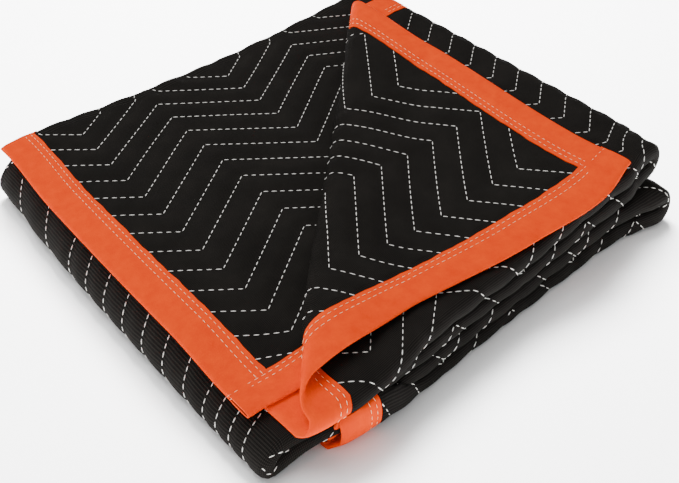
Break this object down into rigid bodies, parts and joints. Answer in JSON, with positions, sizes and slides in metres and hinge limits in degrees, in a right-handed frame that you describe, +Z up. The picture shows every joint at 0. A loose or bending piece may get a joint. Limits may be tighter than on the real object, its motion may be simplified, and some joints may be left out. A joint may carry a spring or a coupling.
{
  "type": "moving pad",
  "caption": "Quilted moving blanket folded into a flat block, zigzag stitched and bound with tape, with the top corner turned back.",
  "frame": {"origin": "middle of the block's footprint, on the surface that it rests on", "axes": "+X along the block's front edge, from the turned corner to the closed folds; +Y to the back fold; +Z up through the layers"},
  "size_m": [0.5061, 0.4813, 0.0995],
  "materials": {
    "quilted_cloth": "matte",
    "binding_tape": "matte"
  },
  "bodies": {
    "root": {"pad_cloth": "quilted_cloth", "binding_long_inner": "binding_tape", "binding_long_outer": "binding_tape", "binding_end_upper": "binding_tape", "binding_end_lower": "binding_tape"}
  },
  "joints": []
}
